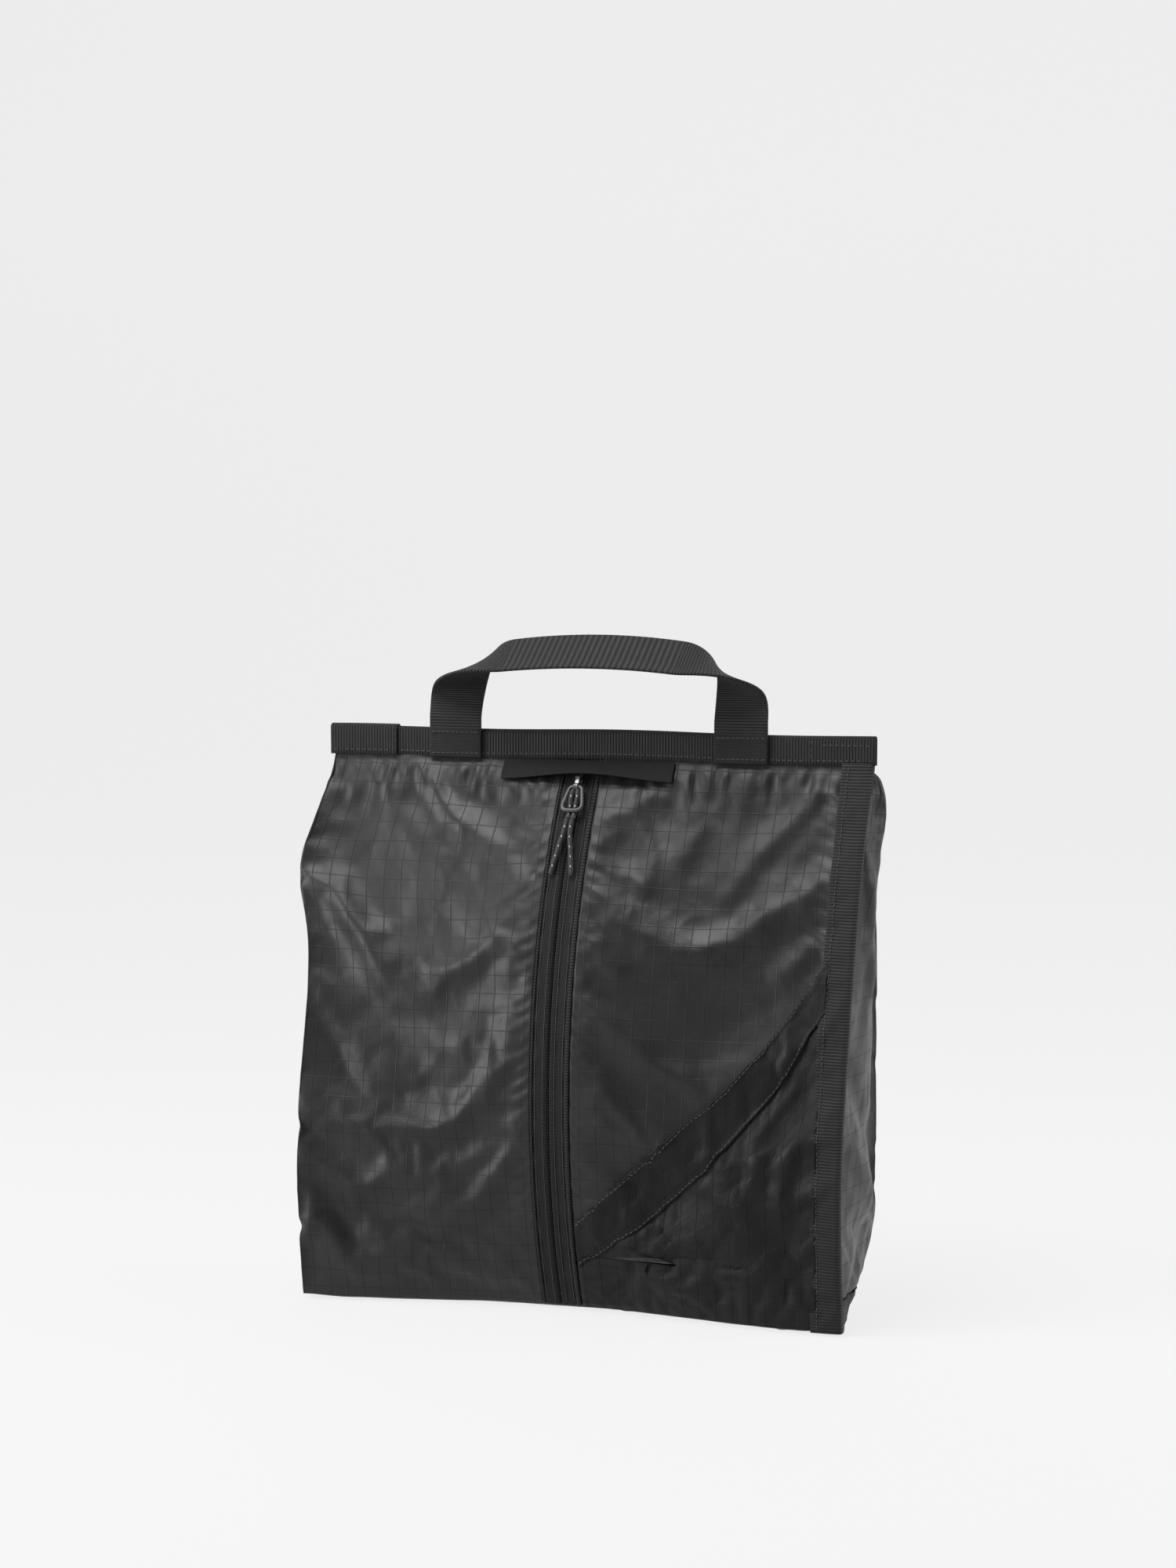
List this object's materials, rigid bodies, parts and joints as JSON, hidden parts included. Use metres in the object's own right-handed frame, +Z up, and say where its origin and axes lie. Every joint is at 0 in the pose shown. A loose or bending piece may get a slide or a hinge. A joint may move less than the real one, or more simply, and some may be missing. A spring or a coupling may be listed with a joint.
{
  "type": "shoe bag",
  "caption": "Soft zipped carry bag for shoes, with a bound top edge, a webbing handle and a slanted front pocket.",
  "frame": {"origin": "middle of the base panel's underside, on the surface that the bag stands on", "axes": "-Y towards the front with the zip and the pocket, +X to the right as seen from the front, +Z up"},
  "size_m": [0.3167, 0.1069, 0.3585],
  "materials": {
    "ripstop": "satin",
    "grosgrain": "matte",
    "label_weave": "satin",
    "zip_tape": "matte",
    "zip_coil": "satin",
    "slider_metal": "satin",
    "eyelet_metal": "polished",
    "moulded_pull": "satin",
    "flecked_cord": "matte"
  },
  "bodies": {
    "bag": {"front_panel_left": "ripstop", "front_panel_right": "ripstop", "back_panel": "ripstop", "left_gusset": "ripstop", "right_gusset": "ripstop", "base_panel": "ripstop", "pocket_panel": "ripstop", "pocket_hem": "ripstop", "top_binding": "grosgrain", "binding_overlap": "grosgrain", "right_edge_binding": "grosgrain", "right_base_binding": "grosgrain", "handle_end_left": "grosgrain", "handle_end_right": "grosgrain", "zip_piping_left": "grosgrain", "zip_piping_right": "grosgrain", "zip_tape_left": "zip_tape", "zip_tape_right": "zip_tape", "zip_coil_left": "zip_coil", "zip_coil_right": "zip_coil", "zip_top_stop": "slider_metal", "zip_bottom_stop": "slider_metal", "eyelet_inner": "eyelet_metal", "eyelet_outer": "eyelet_metal", "eyelet_washer_inner": "eyelet_metal", "eyelet_washer_outer": "eyelet_metal"},
    "slider": {"zip_slider": "slider_metal"},
    "pull_tab": {"zip_pull_tab": "slider_metal"},
    "pull_ring": {"zip_pull_ring": "moulded_pull", "pull_cord_hitch": "flecked_cord", "pull_cord_left": "flecked_cord", "pull_cord_right": "flecked_cord"},
    "handle": {"handle_strap": "grosgrain"},
    "label": {"label": "label_weave"}
  },
  "joints": [
    {"name": "slider_travel", "type": "hinge", "parent": "bag", "child": "slider", "pos_m": [-0.008, 0.2344, 0.114], "axis": [1, 0, 0], "range_deg": [0, 56.8]},
    {"name": "pull_tab_swing", "type": "hinge", "parent": "slider", "child": "pull_tab", "pos_m": [-0.008, -0.00055, 0.2835], "axis": [-1, 0, 0], "range_deg": [0, 75]},
    {"name": "pull_ring_swing", "type": "hinge", "parent": "pull_tab", "child": "pull_ring", "pos_m": [-0.008, -0.0041, 0.27866], "axis": [-1, 0, 0], "range_deg": [0, 60]},
    {"name": "handle_fold", "type": "hinge", "parent": "bag", "child": "handle", "pos_m": [0, 0.0066, 0.314], "axis": [1, 0, 0], "range_deg": [-110, 110]},
    {"name": "label_lift", "type": "hinge", "parent": "bag", "child": "label", "pos_m": [-0.004, 0.0072, 0.2919], "axis": [-1, 0, 0], "range_deg": [0, 100]}
  ]
}
